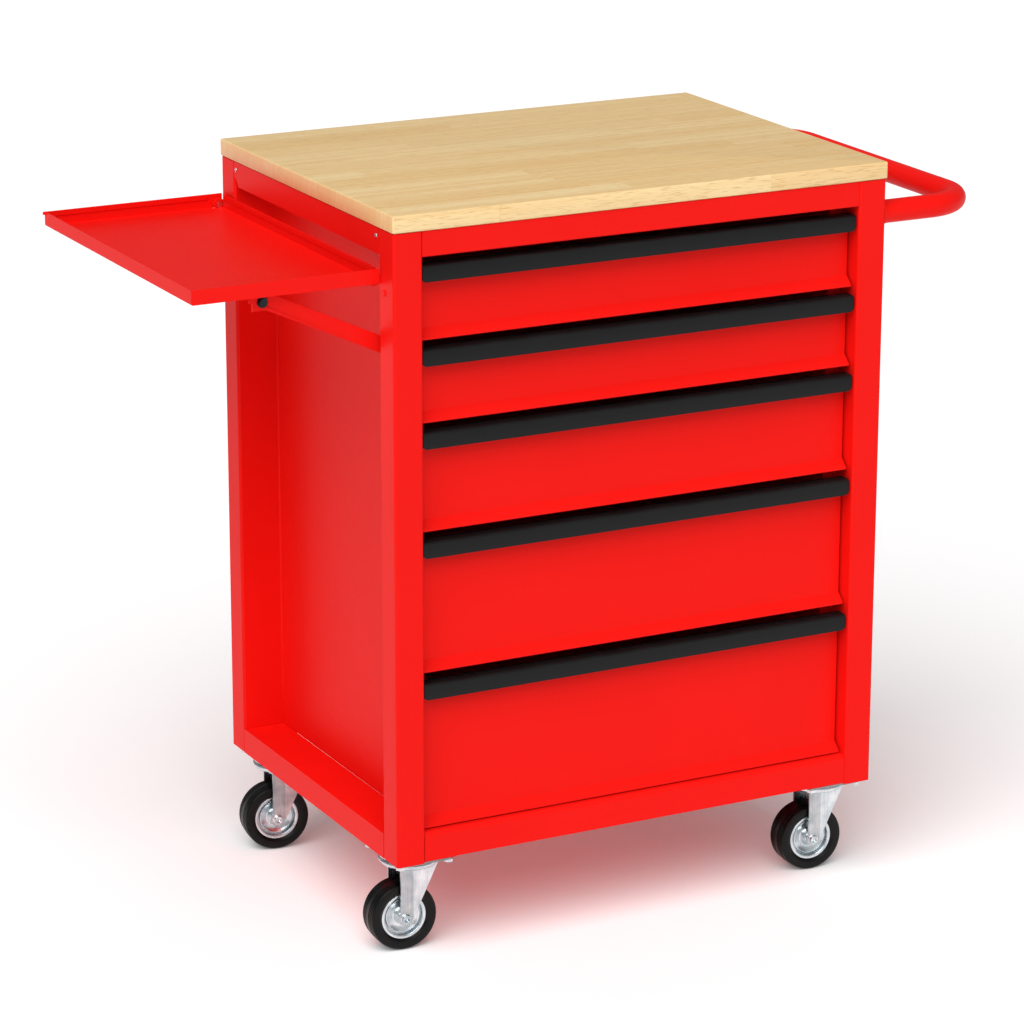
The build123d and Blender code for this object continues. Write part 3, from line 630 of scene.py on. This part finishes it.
frontLook = {
    "sheetMm": 1.2,
    "foldRadiusMm": 2.2,
    "hemRadiusMm": 1.1,
    "sideFlangeMm": 12.0,
    "lipRiseMm": 11.5,
    "hemRiseMm": 2.2,
    "edgeMm": 0.35,
}
gripLook = {
    "wallMm": 2.5,
    "cornerCutMm": 4.5,
    "cornerRiseMm": 2.8,
    "hookMm": 9.0,
    "topRiseMm": 7.0,
    "crestMm": [(0.0, -2.6), (0.5, -1.1), (1.6, -0.1), (3.4, 0.5)],  # back from the face and up from its top
    "edgeMm": 0.9,
}


def makeFront(number):
    # face, flared lip below and a flange folded back at each end, from one sheet
    low, high = boxOf("drawer_front_%d" % number)
    faceY = boxOf("drawer_grip_%d" % number)[1].y
    bends = [
        (faceY, high.z),
        (faceY, low.z + frontLook["lipRiseMm"]),
        (low.y + 0.2, low.z + frontLook["hemRiseMm"]),
        (low.y, low.z),
    ]
    path = roundCorners(bends, [frontLook["foldRadiusMm"], frontLook["hemRadiusMm"]])
    shape = bmesh.new()
    left = [shape.verts.new((low.x * mm, point.x * mm, point.y * mm)) for point in path]
    right = [shape.verts.new((high.x * mm, point.x * mm, point.y * mm)) for point in path]
    for i in range(len(path) - 1):
        shape.faces.new((left[i], left[i + 1], right[i + 1], right[i]))
    for edge in (left, right):
        backY = (faceY + frontLook["sideFlangeMm"]) * mm
        back = [shape.verts.new((v.co.x, backY, v.co.z)) for v in edge[:2]]
        shape.faces.new((edge[0], edge[1], back[1], back[0]))
    bmesh.ops.recalc_face_normals(shape, faces=shape.faces)
    if sum(face.normal.y * face.calc_area() for face in shape.faces) > 0:
        bmesh.ops.reverse_faces(shape, faces=shape.faces)
    keepPiece(
        "pressed_front_%d" % number, shape, "drawer_%d" % number, [redCoat],
        ("drawer_front_%d" % number,), ease=frontLook["edgeMm"] * mm, sheet=frontLook["sheetMm"] * mm,
    )


def makeGrip(number):
    # a moulded strip: upright face, rounded top that rises towards the drawer,
    # lower corners cut off at both ends
    low, high = boxOf("drawer_grip_%d" % number)
    cutX, cutZ = gripLook["cornerCutMm"], gripLook["cornerRiseMm"]
    backTop = min(high.z + gripLook["topRiseMm"], boxOf("drawer_front_%d" % number)[1].z + 0.8)
    crest = [(low.y + forth, high.z + rise) for forth, rise in gripLook["crestMm"]]
    crest += [(high.y, backTop), (high.y, backTop - gripLook["hookMm"])]
    bottom = [(low.x, low.z + cutZ), (low.x + cutX, low.z), (high.x - cutX, low.z), (high.x, low.z + cutZ)]
    shape = bmesh.new()
    face = [shape.verts.new((x * mm, low.y * mm, z * mm)) for x, z in bottom]
    rear = [shape.verts.new((x * mm, high.y * mm, z * mm)) for x, z in bottom]
    right = [shape.verts.new((high.x * mm, y * mm, z * mm)) for y, z in crest]
    left = [shape.verts.new((low.x * mm, y * mm, z * mm)) for y, z in crest]
    shape.faces.new(face + [right[0], left[0]])
    shape.faces.new((face[0], face[1], rear[1], rear[0]))
    shape.faces.new((face[2], face[3], rear[3], rear[2]))
    shape.faces.new([face[3]] + right[:-1] + [rear[3]])
    shape.faces.new([rear[0]] + list(reversed(left[:-1])) + [face[0]])
    for i in range(len(crest) - 1):
        shape.faces.new((right[i], right[i + 1], left[i + 1], left[i]))
    bmesh.ops.recalc_face_normals(shape, faces=shape.faces)
    shape.faces.ensure_lookup_table()
    if shape.faces[0].normal.y > 0:
        bmesh.ops.reverse_faces(shape, faces=shape.faces)
    keepPiece(
        "moulded_grip_%d" % number, shape, "drawer_%d" % number, [gripPlastic],
        ("drawer_grip_%d" % number,),
        ease=gripLook["edgeMm"] * mm, easeSteps=3, sheet=gripLook["wallMm"] * mm,
    )


for number in drawerNumbers:
    makeFront(number)
    makeGrip(number)
print("drawer fronts and grips made")


# side tray: folded-over hem inside the rim

hemLook = {
    "heightMm": 6.0,
    "sheetMm": 1.0,
    "wallMm": 1.2,
    "earMm": 2.4,  # the rim's ears reach this far past its outer wall
    "cornerGapMm": 9.0,
    "lugGapMm": 8.0,  # more room beside the hinge lugs
    "jointMm": 2.0,  # where two hems meet in a corner
    "dropMm": 0.15,  # the hem's fold lies just under the rim's edge
    "edgeMm": 0.45,
}
trayLow, trayHigh = boxOf("side_tray")
inner = {
    "left": trayLow.x + hemLook["earMm"] + hemLook["wallMm"],
    "right": trayHigh.x - hemLook["wallMm"],
    "front": trayLow.y + hemLook["wallMm"],
    "rear": trayHigh.y - hemLook["wallMm"],
}
hemTop, hemLow = trayHigh.z - hemLook["dropMm"], trayHigh.z - hemLook["heightMm"]
gap, thin, joint = hemLook["cornerGapMm"], hemLook["sheetMm"], hemLook["jointMm"]
sideSpan = (inner["left"] + joint, inner["right"] - gap - hemLook["lugGapMm"])
hemBoxes = [
    (sideSpan, (inner["front"], inner["front"] + thin)),
    (sideSpan, (inner["rear"] - thin, inner["rear"])),
    ((inner["left"], inner["left"] + thin), (inner["front"] + joint, inner["rear"] - joint)),
    ((inner["right"] - thin, inner["right"]), (inner["front"] + gap, inner["rear"] - gap)),
]
shape = bmesh.new()
for (x0, x1), (y0, y1) in hemBoxes:
    made = bmesh.ops.create_cube(shape, size=1.0)["verts"]
    for v in made:
        v.co = Vector((
            (x0 if v.co.x < 0 else x1) * mm,
            (y0 if v.co.y < 0 else y1) * mm,
            (hemLow if v.co.z < 0 else hemTop) * mm,
        ))
keepPiece("tray_hem", shape, "tray", [redCoat], ease=hemLook["edgeMm"] * mm)
print("tray hem made")


# push handle: weld beads where the tube meets its flanges

handleLow, handleHigh = boxOf("push_handle")
tubeRadius = (handleHigh.z - handleLow.z) / 2
flangeHigh = boxOf("handle_flanges")[1]
handleZ = (handleHigh.z + handleLow.z) / 2
beadLook = {"radiusMm": 1.5, "ripples": 40, "rippleMm": 0.25, "aroundSteps": 10}
aroundSteps = beadLook["aroundSteps"]
shape = bmesh.new()
for legY in (handleLow.y + tubeRadius, handleHigh.y - tubeRadius):
    centre = Vector((flangeHigh.x * mm, legY * mm, handleZ * mm))
    rings = []
    steps = beadLook["ripples"] * 4
    for step in range(steps):
        angle = 2 * math.pi * step / steps
        out = Vector((0, math.cos(angle), math.sin(angle)))
        size = beadLook["radiusMm"] + beadLook["rippleMm"] * math.cos(angle * beadLook["ripples"])
        ring = []
        for turn in range(aroundSteps):
            around = 2 * math.pi * turn / aroundSteps
            reach = out * (tubeRadius + size * math.cos(around)) * mm
            ring.append(shape.verts.new(centre + reach + Vector((1, 0, 0)) * size * math.sin(around) * mm))
        rings.append(ring)
    for first, second in zip(rings, rings[1:] + rings[:1]):
        for turn in range(aroundSteps):
            following = (turn + 1) % aroundSteps
            shape.faces.new((first[turn], first[following], second[following], second[turn]))
keepPiece("handle_weld_beads", shape, "cabinet", [redCoat])
print("weld beads made")


# rail screws: pan heads with a cross recess

screwLook = {
    "crossMm": 2.8,
    "slotMm": 0.7,
    "depthMm": 0.7,
    "standMm": 1.4,  # height of the head
    "headMm": [(0.0, 2.6), (0.5, 2.6), (0.95, 2.3), (1.25, 1.8), (1.35, 1.2), (1.35, 0.6)],  # height, radius
    "steps": 48,
}
railLow, railHigh = boxOf("rail_screws")
screwRadius = (railHigh.z - railLow.z) / 2
shape = bmesh.new()
steps = screwLook["steps"]
for faceX, outward in ((railLow.x + screwLook["standMm"], -1), (railHigh.x - screwLook["standMm"], 1)):
    for screwY in (railLow.y + screwRadius, railHigh.y - screwRadius):
        centre = Vector((faceX * mm, screwY * mm, (railLow.z + screwRadius) * mm))
        rings = []
        for height, radius in screwLook["headMm"]:
            ring = []
            for step in range(steps):
                angle = 2 * math.pi * step / steps
                y, z = radius * math.cos(angle), radius * math.sin(angle)
                inSlot = min(abs(y), abs(z)) < screwLook["slotMm"] / 2
                inCross = inSlot and max(abs(y), abs(z)) < screwLook["crossMm"] / 2 and height > 1.0
                sunk = height - (screwLook["depthMm"] if inCross else 0.0)
                ring.append(shape.verts.new(centre + Vector((outward * sunk, y, z)) * mm))
            rings.append(ring)
        crossFloor = screwLook["headMm"][-1][0] - screwLook["depthMm"]
        middle = shape.verts.new(centre + Vector((outward * crossFloor, 0, 0)) * mm)
        for first, second in zip(rings, rings[1:]):
            for step in range(steps):
                following = (step + 1) % steps
                shape.faces.new((first[step], first[following], second[following], second[step]))
        for step in range(steps):
            shape.faces.new((rings[-1][step], rings[-1][(step + 1) % steps], middle))
        shape.faces.new(list(reversed(rings[0])))
keepPiece("pan_head_screws", shape, "cabinet", [zincPlate], ("rail_screws",))
print("screws made")


# casters: tyre, rim, fork, axle and upper race

wheelLook = {
    "axleMm": 40.0,  # height of the axle
    "radiusMm": 39.9,
    "halfWidthMm": 16.0,
    "rimMm": 27.0,
    "treadGroovesMm": [4.6, 7.8, 11.0],  # distance of each groove from the middle of the tread
    "grooveWidthMm": 1.3,
    "grooveDepthMm": 1.5,
}
forkLook = {
    "sheetMm": 2.2,
    "foldMm": 2.9,  # where the leg folds, measured from the swivel towards the wheel
    "foldInMm": 4.2,  # how far the leading edge leans in
    "backMm": 18.3,
    "frontMm": 31.0,
    "heelMm": 8.7,  # radius of the leg's round end at the axle
    "clearMm": 1.8,  # between tyre and leg
    "wallMm": 2.5,  # from the leg's inner face to the nut's face
    "legTopMm": 2.4,  # the legs start under the crown's sheet
    "rows": 34,
}


def treadProfile():
    # one half of the tyre from the rim to the middle of the tread, then mirrored
    look = wheelLook
    half = [
        (13.2, look["rimMm"] - 0.4), (14.3, look["rimMm"] + 0.9),
        (15.0, look["rimMm"] + 2.4), (15.4, look["rimMm"] + 2.6),
        (15.8, 31.2), (16.0, 33.8), (16.0, 36.2), (15.8, 37.6), (15.2, 38.6), (14.2, 39.2), (13.2, 39.5),
    ]
    width, depth = look["grooveWidthMm"], look["grooveDepthMm"]
    for groove in sorted(look["treadGroovesMm"], reverse=True):
        top = look["radiusMm"] - (groove / 16.0) ** 2 * 0.7
        half += [
            (groove + width / 2 + 0.2, top - 0.05), (groove + width / 2 - 0.1, top - depth),
            (groove - width / 2 + 0.1, top - depth), (groove - width / 2 - 0.2, top + 0.1),
        ]
    half += [(3.0, look["radiusMm"]), (0.0, look["radiusMm"])]
    return [(-s, r) for s, r in half] + [(s, r) for s, r in reversed(half[:-1])]


# half of the rim from the bearing out to the bead, then mirrored: along the axle, radius
rimProfile = [
    (-16.3, 4.1), (-16.3, 7.4), (-15.6, 8.2), (-10.0, 9.6), (-8.2, 10.6), (-7.6, 12.0), (-8.0, 15.0),
    (-9.6, 18.2), (-10.4, 19.6), (-10.2, 20.4), (-8.6, 20.9), (-7.4, 21.2), (-7.2, 22.0), (-8.6, 22.5),
    (-12.2, 22.9), (-13.1, 23.6), (-13.6, 25.0), (-13.5, 26.6), (-12.8, 27.3), (-12.2, 27.0),
]
rimProfile += [(-s, r) for s, r in reversed(rimProfile)]

# the fork's crown and the upper race, from their tops down: drop, radius
crownDrops = [
    (0.0, 5.1), (0.0, 29.0), (0.1, 34.0), (0.5, 35.2), (1.4, 35.5), (2.4, 35.3), (2.9, 34.6), (3.1, 33.6),
    (3.6, 33.2), (4.6, 33.2), (6.0, 32.4), (7.2, 30.6), (7.5, 28.8), (6.4, 28.4), (4.2, 30.2), (2.6, 29.6),
    (2.5, 5.1),
]
raceDrops = [
    (0.0, 26.0), (0.0, 33.0), (0.8, 34.2), (2.6, 34.5), (3.3, 33.9), (3.6, 32.6), (4.7, 32.2), (4.8, 30.0),
    (1.5, 28.0),
]
raceSunkMm = 2.5  # the race starts inside the plate
joints = {joint["name"]: joint for joint in frame["joints"]}


def axleProfile(legOuter):
    # flanged head, shank and the face under the nut: along the axle, radius
    return [
        (-legOuter - 0.6, 0.0), (-legOuter - 0.6, 1.9), (-legOuter - 1.2, 2.6), (-legOuter - 2.9, 3.1),
        (-legOuter - 3.4, 3.9), (-legOuter - 3.2, 4.8), (-legOuter - 1.9, 5.4), (-legOuter - 0.7, 5.6),
        (-legOuter - 0.6, 6.6), (-legOuter, 6.8), (-legOuter, 3.95), (legOuter, 3.95), (legOuter, 7.5),
        (legOuter + 1.0, 7.3), (legOuter + 1.1, 0.0),
    ]


def forkLeg(shape, origin, trail, away, sign, topZ, axleAlong, legOuter):
    # one leg: an upright strip over the axle, and a web that leans in from the fold to the slanted edge
    look = forkLook
    axleA, axleZ, heel = axleAlong, wheelLook["axleMm"], look["heelMm"]
    reach = Vector((axleA + look["frontMm"], axleZ - topZ))
    slope = math.atan2(reach.y, reach.x) - math.asin(heel / reach.length)
    tangentZ = topZ + math.sqrt(reach.length ** 2 - heel ** 2) * math.sin(slope)
    rows = []
    for i in range(look["rows"] + 1):
        z = topZ + (axleZ - heel * 0.985 - topZ) * (i / look["rows"]) ** 0.8
        half = math.sqrt(max(heel ** 2 - (z - axleZ) ** 2, 0.0))
        front = (z - topZ) / math.tan(slope) - look["frontMm"] if z > tangentZ else axleA - half
        back = max(look["backMm"], axleA + half) if z > axleZ else axleA + half
        fold = min(max(look["foldMm"], front + 0.3), back - 0.3)
        places = [front + (fold - front) * j / 6 for j in range(6)]
        places += [fold + (back - fold) * j / 4 for j in range(5)]
        row = []
        for a in places:
            inward = max(look["foldMm"] - a, 0.0) / (look["foldMm"] + look["frontMm"]) * look["foldInMm"]
            sideways = away * sign * (legOuter - inward)
            row.append(shape.verts.new(origin + (trail * a + sideways + up * z) * mm))
        rows.append(row)
    for first, second in zip(rows, rows[1:]):
        for j in range(len(first) - 1):
            face = shape.faces.new((first[j], first[j + 1], second[j + 1], second[j]))
            # faces of the upright strip take the second finish, the one with painted shade
            face.material_index = 1 if j > 5 else 0


def hexNut(shape, centre, axis, acrossFlats, height, hole):
    # a nut with a chamfered top, and the end of the thread standing out of it
    axis = axis.normalized()
    side = axis.orthogonal().normalized()
    other = axis.cross(side)
    radius = acrossFlats / math.sqrt(3)
    levels = [(0.0, 1.0), (height - 0.7, 1.0), (height, 0.9)]
    rings = []
    for level, share in levels:
        ring = []
        for k in range(6):
            out = side * math.cos(k * math.pi / 3) + other * math.sin(k * math.pi / 3)
            ring.append(shape.verts.new(centre + (axis * level + out * radius * share) * mm))
        rings.append(ring)
    for first, second in zip(rings, rings[1:]):
        for k in range(6):
            shape.faces.new((first[k], first[(k + 1) % 6], second[(k + 1) % 6], second[k]))
    shape.faces.new(rings[-1])
    shape.faces.new(list(reversed(rings[0])))
    thread = [
        (height - 0.2, 0.0), (height - 0.2, hole), (height + 1.6, hole),
        (height + 2.0, hole - 0.6), (height + 2.0, 0.0),
    ]
    turnProfile(shape, thread, centre, axis, 32, closed=False)


def makeCaster(corner):
    swivel = Vector(joints["swivel_" + corner]["pos_m"])
    spin = Vector(joints["spin_" + corner]["pos_m"])
    away = Vector(joints["spin_" + corner]["axis"]).normalized()
    trail = Vector((spin.x - swivel.x, spin.y - swivel.y, 0))
    axleAlong = trail.length / mm
    trail.normalize()
    site = Vector((swivel.x, swivel.y, 0))
    crownTop = boxOf("caster_fork_" + corner)[1].z
    legOuter = wheelLook["halfWidthMm"] + forkLook["clearMm"] + forkLook["wallMm"]
    wheel, caster = "wheel_" + corner, "caster_" + corner

    shape = bmesh.new()
    turnProfile(shape, treadProfile(), spin, away, 128)
    keepPiece(
        "tyre_" + corner, shape, wheel, [tyreRubber], ("wheel_tyre_" + corner,),
        ease=0.25 * mm,
    )

    shape = bmesh.new()
    turnProfile(shape, rimProfile, spin, away, 112)
    keepPiece(
        "rim_" + corner, shape, wheel, [zincPlate], ("wheel_rim_" + corner,),
        ease=0.3 * mm,
    )

    # fork: crown with a rolled edge, then two legs
    shape = bmesh.new()
    turnProfile(shape, [(crownTop - drop, radius) for drop, radius in crownDrops], site, up, 96)
    keepPiece("fork_crown_" + corner, shape, caster, [zincPlate], ease=0.3 * mm)

    shape = bmesh.new()
    for sign in (-1, 1):
        forkLeg(shape, site, trail, away, sign, crownTop - forkLook["legTopMm"], axleAlong, legOuter)
    faceOutward(shape, away, site)
    # the legs' upright strips get the zinc with painted shade
    keepPiece(
        "fork_legs_" + corner, shape, caster, [zincPlate, zincStripPaintedShade],
        ("caster_fork_" + corner,), ease=0.4 * mm, sheet=forkLook["sheetMm"] * mm, easeAngle=40,
    )

    # axle: flanged head on one side, nut on the other
    shape = bmesh.new()
    turnProfile(shape, axleProfile(legOuter), spin, away, 64, closed=False)
    hexNut(shape, spin + away * (legOuter + 1.0) * mm, away, 11.0, 4.5, 3.2)
    keepPiece(
        "axle_" + corner, shape, caster, [zincPlate], ("caster_axle_" + corner,),
        ease=0.25 * mm,
    )

    # upper race: rolled ring pressed into the plate
    raceTop = boxOf("caster_plates")[1].z - raceSunkMm
    shape = bmesh.new()
    turnProfile(shape, [(raceTop - drop, radius) for drop, radius in raceDrops], site, up, 96)
    keepPiece("upper_race_" + corner, shape, "cabinet", [zincPlate], ease=0.25 * mm)


for corner in cornerNames:
    makeCaster(corner)
print("casters made")


# floor, light and camera

floorLook = {"colour": "#FCFCFC", "sizeM": 60.0, "roughness": 0.75, "specular": 0.2, "glow": 0.1}
floorShape = bmesh.new()
bmesh.ops.create_grid(floorShape, x_segments=4, y_segments=4, size=floorLook["sizeM"] / 2)
floorData = bpy.data.meshes.new("floor")
floorShape.to_mesh(floorData)
floorShape.free()
floor = bpy.data.objects.new("studio_floor", floorData)
bpy.context.scene.collection.objects.link(floor)
floorFinish, floorTree, floorPlace = startFinish("painted studio floor")
floorNoise = addNode(floorTree, "ShaderNodeTexNoise", {"Vector": floorPlace, "Scale": 3.0, "Detail": 2.0})
floorGloss = addNode(floorTree, "ShaderNodeMapRange", {
    0: floorNoise.outputs[0], 3: floorLook["roughness"] - 0.03, 4: floorLook["roughness"] + 0.03,
})
closeFinish(floorTree, {
    "Base Color": linear(floorLook["colour"]),
    "Roughness": floorGloss.outputs[0],
    "Specular IOR Level": floorLook["specular"],
    "Emission Color": (1.0, 1.0, 1.0, 1.0),
    "Emission Strength": floorLook["glow"],
})
floorData.materials.append(floorFinish)

lightLook = {
    "skyStrength": 0.25,
    "overheadStrength": 2.9,  # broad soft light from above, in front and to the left
    "overheadSpreadDegrees": 55.0,
    "overheadFrom": (-0.52, -0.58, 1.0),
    "fillStrength": 0.25,  # low and from the front, for the drawer fronts
    "fillSpreadDegrees": 60.0,
    "fillFrom": (0.15, -1.0, 0.30),
}
world = bpy.data.worlds.new("studio")
bpy.context.scene.world = world
world.use_nodes = True
world.node_tree.nodes.clear()
skyLight = {"Color": (1.0, 1.0, 1.0, 1.0), "Strength": lightLook["skyStrength"]}
sky = addNode(world.node_tree, "ShaderNodeBackground", skyLight)
addNode(world.node_tree, "ShaderNodeOutputWorld", {"Surface": sky.outputs[0]})


def addSun(name, strength, spread, comesFrom):
    lamp = bpy.data.lights.new(name, "SUN")
    lamp.energy = strength
    lamp.angle = math.radians(spread)
    holder = bpy.data.objects.new(name, lamp)
    bpy.context.scene.collection.objects.link(holder)
    holder.rotation_mode = "QUATERNION"
    holder.rotation_quaternion = Vector(comesFrom).to_track_quat("Z", "Y")


for lamp in ("overhead", "fill"):
    addSun(lamp, lightLook[lamp + "Strength"], lightLook[lamp + "SpreadDegrees"], lightLook[lamp + "From"])

cameraLook = {
    "placeMm": (-2111.0, -4056.2, 1822.7),
    "headingDegrees": 27.392,  # from +Y towards +X
    "tiltDownDegrees": 16.878,
    "rollDegrees": 0.104,
    "lensMm": 143.49,
}
turns = ("headingDegrees", "tiltDownDegrees", "rollDegrees")
heading, tilt, roll = (math.radians(cameraLook[turn]) for turn in turns)
forward = Vector((math.sin(heading) * math.cos(tilt), math.cos(heading) * math.cos(tilt), -math.sin(tilt)))
level = Vector((math.cos(heading), -math.sin(heading), 0))
above = level.cross(forward)
rightward = level * math.cos(roll) + above * math.sin(roll)
upward = above * math.cos(roll) - level * math.sin(roll)
cameraData = bpy.data.cameras.new("camera")
cameraData.lens = cameraLook["lensMm"]
cameraData.sensor_width = 36.0
cameraData.clip_start, cameraData.clip_end = 0.1, 200.0
camera = bpy.data.objects.new("camera", cameraData)
bpy.context.scene.collection.objects.link(camera)
turned = Matrix((rightward, upward, -forward)).transposed().to_4x4()
camera.matrix_world = Matrix.Translation(Vector(cameraLook["placeMm"]) * mm) @ turned
bpy.context.scene.camera = camera
bpy.context.scene.view_settings.view_transform = "Standard"
print("floor, light and camera set")
